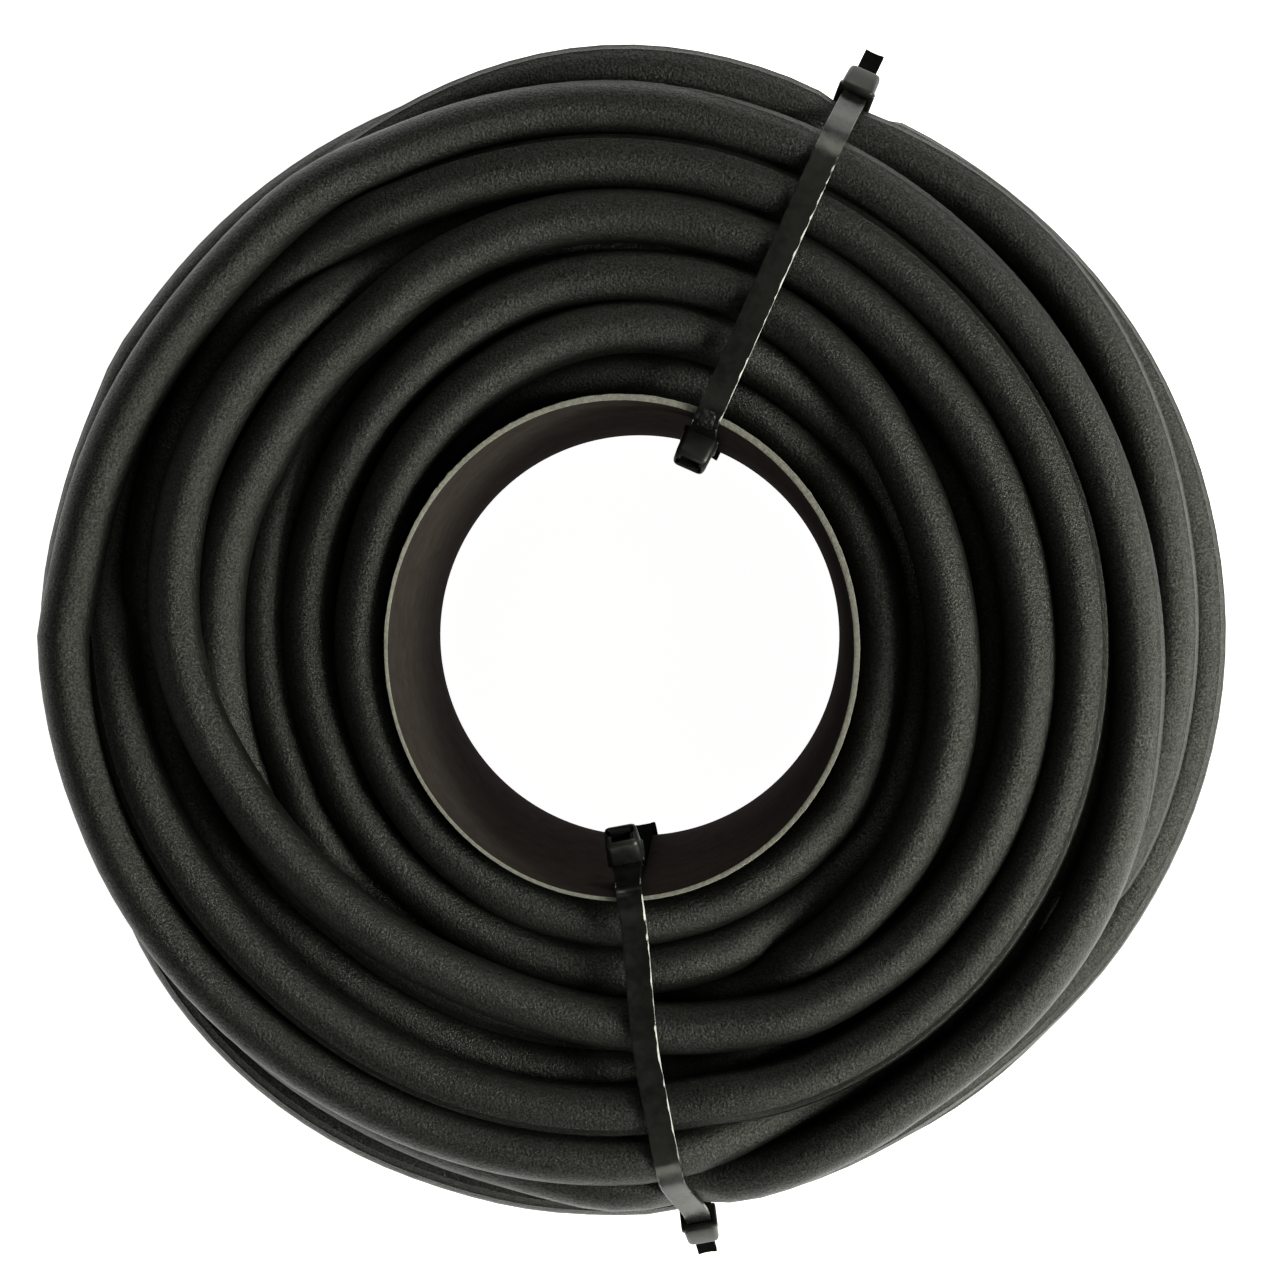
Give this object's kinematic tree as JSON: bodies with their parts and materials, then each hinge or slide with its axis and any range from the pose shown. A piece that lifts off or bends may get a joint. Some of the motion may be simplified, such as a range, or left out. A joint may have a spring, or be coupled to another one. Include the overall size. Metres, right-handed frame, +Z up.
{
  "type": "coiled soaker hose",
  "caption": "Porous rubber soaker hose wound in a flat coil on a short plastic tube and held by loops of joined cable ties.",
  "frame": {"origin": "centre of the bounding box at its lowest point, on the surface that the coil lies on", "axes": "+Z up along the core tube's axis; the tube's axis passes 4.74 mm to the +Y side of the origin; the tie loops run outwards at 65.9 and -79.2 degrees from +X"},
  "size_m": [0.38, 0.3894, 0.1327],
  "materials": {
    "hose_rubber": "matt, porous, finely pitted",
    "core_plastic": "satin extruded plastic with sawn ends",
    "tie_nylon": "glossy moulded nylon"
  },
  "bodies": {
    "coil": {"hose_coil": "hose_rubber", "hose_outer_end": "hose_rubber", "hose_inner_end": "hose_rubber", "core_tube": "core_plastic", "upper_front_tie": "tie_nylon", "upper_back_tie": "tie_nylon", "lower_front_tie": "tie_nylon", "lower_back_tie": "tie_nylon"},
    "upper_front_pawl": {"upper_front_pawl": "tie_nylon"},
    "upper_back_pawl": {"upper_back_pawl": "tie_nylon"},
    "lower_front_pawl": {"lower_front_pawl": "tie_nylon"},
    "lower_back_pawl": {"lower_back_pawl": "tie_nylon"}
  },
  "joints": [
    {"name": "upper_front_pawl_hinge", "type": "hinge", "parent": "coil", "child": "upper_front_pawl", "pos_m": [0.02373, 0.06857, 0.1183], "axis": [-0.9128, 0.4083, 0], "range_deg": [0, 8], "stiffness_Nm_per_rad": 0.0001, "springref_deg": -5.73},
    {"name": "upper_back_pawl_hinge", "type": "hinge", "parent": "coil", "child": "upper_back_pawl", "pos_m": [0.07144, 0.17522, 0.10789], "axis": [-0.9128, 0.4083, 0], "range_deg": [0, 8], "stiffness_Nm_per_rad": 0.0001, "springref_deg": -5.73},
    {"name": "lower_front_pawl_hinge", "type": "hinge", "parent": "coil", "child": "lower_front_pawl", "pos_m": [0.00075, -0.06002, 0.11734], "axis": [0.9823, 0.1874, 0], "range_deg": [0, 8], "stiffness_Nm_per_rad": 0.0001, "springref_deg": -5.73},
    {"name": "lower_back_pawl_hinge", "type": "hinge", "parent": "coil", "child": "lower_back_pawl", "pos_m": [0.02342, -0.17887, 0.10106], "axis": [0.9823, 0.1874, 0], "range_deg": [0, 8], "stiffness_Nm_per_rad": 0.0001, "springref_deg": -5.73}
  ]
}
